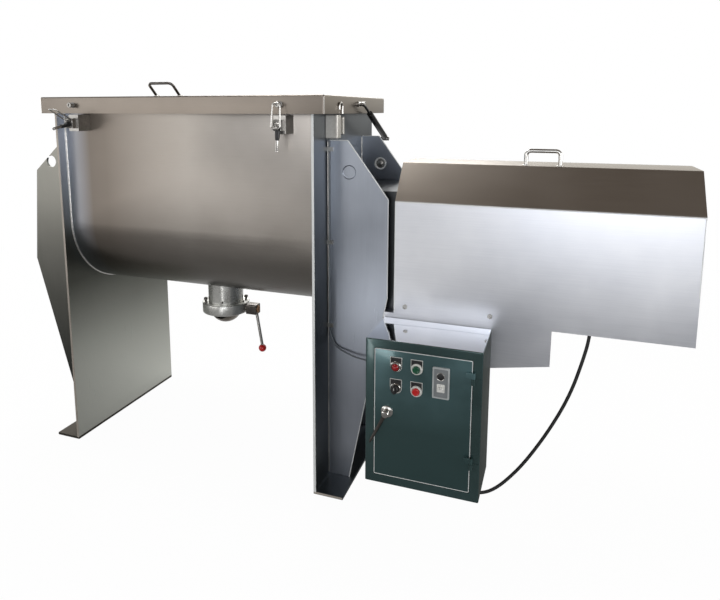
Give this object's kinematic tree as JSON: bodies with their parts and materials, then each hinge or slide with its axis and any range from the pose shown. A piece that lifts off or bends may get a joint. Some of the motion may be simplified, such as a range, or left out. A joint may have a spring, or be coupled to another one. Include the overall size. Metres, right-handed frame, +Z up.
{
  "type": "ribbon blender",
  "caption": "Floor-standing powder mixer: U trough with a driven double ribbon, hinged lid, ball discharge valve, guarded gear motor and control box.",
  "frame": {"origin": "centre of the four anchor holes, on the floor", "axes": "+X from the tank to the drive, +Y to the lid hinges, +Z up"},
  "size_m": [2.063, 0.6633, 1.19],
  "materials": {
    "tank_steel": "satin brushed stainless sheet",
    "leg_steel": "satin brushed stainless plate",
    "gusset_steel": "satin brushed stainless plate",
    "guard_steel": "bright brushed stainless sheet",
    "bright_rod": "polished round bar",
    "turned_steel": "turned stainless",
    "ribbon_steel": "polished stainless strip",
    "cast_grey": "satin paint on castings",
    "green_panel": "deep green gloss coat",
    "door_green": "deep green gloss coat",
    "red_plastic": "gloss moulding",
    "lamp_red": "translucent lens",
    "green_plastic": "gloss moulding",
    "black_plastic": "matt moulding",
    "white_plastic": "matt moulding",
    "grey_plastic": "matt moulding",
    "black_rubber": "matt rubber",
    "white_rubber": "soft sealing strip",
    "black_tube": "black lacquer",
    "zinc_bolt": "bright bolts"
  },
  "bodies": {
    "frame": {"left_leg_plate": "leg_steel", "right_leg_plate": "leg_steel", "trough_shell": "tank_steel", "left_gussets": "gusset_steel", "right_gussets": "gusset_steel", "hinge_brackets": "turned_steel", "hinge_pins": "bright_rod", "latch_blocks": "turned_steel", "strut_stud": "bright_rod", "interlock_switch": "turned_steel", "interlock_cable": "black_rubber", "cable_clips": "turned_steel", "discharge_tube": "turned_steel", "valve_ring": "turned_steel", "shaft_seals": "turned_steel", "shaft_bearings": "cast_grey", "drive_bracket": "guard_steel", "gear_reducer": "cast_grey", "motor_body": "cast_grey", "fan_cover": "cast_grey", "terminal_box": "cast_grey", "shaft_cover": "guard_steel", "guard_shell": "guard_steel", "guard_handle": "bright_rod", "fixing_bolts": "zinc_bolt", "box_shell": "green_panel", "box_hinges": "bright_rod", "switchgear": "black_plastic", "cable_glands": "black_plastic", "motor_cable": "black_rubber"},
    "agitator": {"main_shaft": "ribbon_steel", "outer_ribbon": "ribbon_steel", "inner_ribbon": "ribbon_steel", "coupling_hubs": "cast_grey", "coupling_spider": "black_rubber", "output_shaft": "turned_steel"},
    "motor_rotor": {"motor_fan": "black_plastic"},
    "lid": {"lid_shell": "tank_steel", "lid_gasket": "white_rubber", "lid_handle": "bright_rod", "lid_fittings": "bright_rod", "hinge_leaves": "turned_steel"},
    "strut_cylinder": {"strut_tube": "black_tube"},
    "strut_piston": {"strut_rod": "bright_rod"},
    "left_lever": {"left_latch_lever": "bright_rod"},
    "left_bail": {"left_latch_bail": "bright_rod"},
    "right_lever": {"right_latch_lever": "bright_rod"},
    "right_bail": {"right_latch_bail": "bright_rod"},
    "valve": {"valve_ball": "turned_steel", "valve_lever": "turned_steel", "valve_knob": "red_plastic"},
    "door": {"box_door": "door_green", "button_bezels": "grey_plastic", "indicator_lamp": "lamp_red", "timer_body": "grey_plastic"},
    "door_latch": {"door_lever": "bright_rod"},
    "start": {"start_button": "green_plastic"},
    "stop": {"stop_button": "red_plastic"},
    "selector": {"selector_knob": "black_plastic"},
    "timer": {"timer_knob": "white_plastic"}
  },
  "joints": [
    {"name": "lid_open", "type": "hinge", "parent": "frame", "child": "lid", "pos_m": [0, 0.291, 1.105], "axis": [-1, 0, 0], "range_deg": [0, 80]},
    {"name": "strut_swing", "type": "hinge", "parent": "frame", "child": "strut_cylinder", "pos_m": [0.497, 0.243, 1.014], "axis": [-1, 0, 0], "range_deg": [0, 69.16]},
    {"name": "strut_extend", "type": "slide", "parent": "strut_cylinder", "child": "strut_piston", "axis": [0, -0.9086, 0.4177], "range_m": [0, 0.115]},
    {"name": "left_latch_lift", "type": "hinge", "parent": "frame", "child": "left_lever", "pos_m": [-0.35, -0.29, 1.07], "axis": [-1, 0, 0], "range_deg": [-70, 10]},
    {"name": "left_bail_fall", "type": "hinge", "parent": "left_lever", "child": "left_bail", "pos_m": [-0.35, -0.30299, 1.0823], "axis": [-1, 0, 0], "range_deg": [-20, 140]},
    {"name": "right_latch_lift", "type": "hinge", "parent": "frame", "child": "right_lever", "pos_m": [0.35, -0.29, 1.07], "axis": [-1, 0, 0], "range_deg": [0, 80]},
    {"name": "right_bail_fall", "type": "hinge", "parent": "right_lever", "child": "right_bail", "pos_m": [0.35, -0.306, 1.062], "axis": [-1, 0, 0], "range_deg": [-160, 0]},
    {"name": "valve_turn", "type": "hinge", "parent": "frame", "child": "valve", "pos_m": [0, 0, 0.443], "axis": [-1, 0, 0], "range_deg": [0, 90]},
    {"name": "shaft_spin", "type": "hinge", "parent": "frame", "child": "agitator", "pos_m": [0, 0, 0.75], "axis": [1, 0, 0], "continuous": true},
    {"name": "motor_spin", "type": "hinge", "parent": "frame", "child": "motor_rotor", "pos_m": [1.27, 0, 0.75], "axis": [1, 0, 0], "continuous": true},
    {"name": "door_open", "type": "hinge", "parent": "frame", "child": "door", "pos_m": [0.8905, -0.336, 0.328], "axis": [0, 0, 1], "range_deg": [0, 110]},
    {"name": "door_latch_turn", "type": "hinge", "parent": "door", "child": "door_latch", "pos_m": [0.671, -0.34, 0.334], "axis": [0, -1, 0], "range_deg": [0, 90]},
    {"name": "start_press", "type": "slide", "parent": "door", "child": "start", "axis": [0, 1, 0], "range_m": [0, 0.004], "stiffness_N_per_m": 400},
    {"name": "stop_press", "type": "slide", "parent": "door", "child": "stop", "axis": [0, 1, 0], "range_m": [0, 0.004], "stiffness_N_per_m": 400},
    {"name": "selector_turn", "type": "hinge", "parent": "door", "child": "selector", "pos_m": [0.694, -0.34, 0.403], "axis": [0, -1, 0], "range_deg": [-45, 45]},
    {"name": "timer_set", "type": "hinge", "parent": "door", "child": "timer", "pos_m": [0.8105, -0.34, 0.422], "axis": [0, -1, 0], "range_deg": [-135, 135]}
  ],
  "couplings": [
    {"joint": "strut_swing", "follows": "lid_open", "ratio": 0.85205},
    {"joint": "strut_extend", "follows": "lid_open", "m_per_rad": 0.081667},
    {"joint": "left_bail_fall", "follows": "left_latch_lift", "ratio": -2},
    {"joint": "right_bail_fall", "follows": "right_latch_lift", "ratio": -2},
    {"joint": "motor_spin", "follows": "shaft_spin", "ratio": -29}
  ]
}
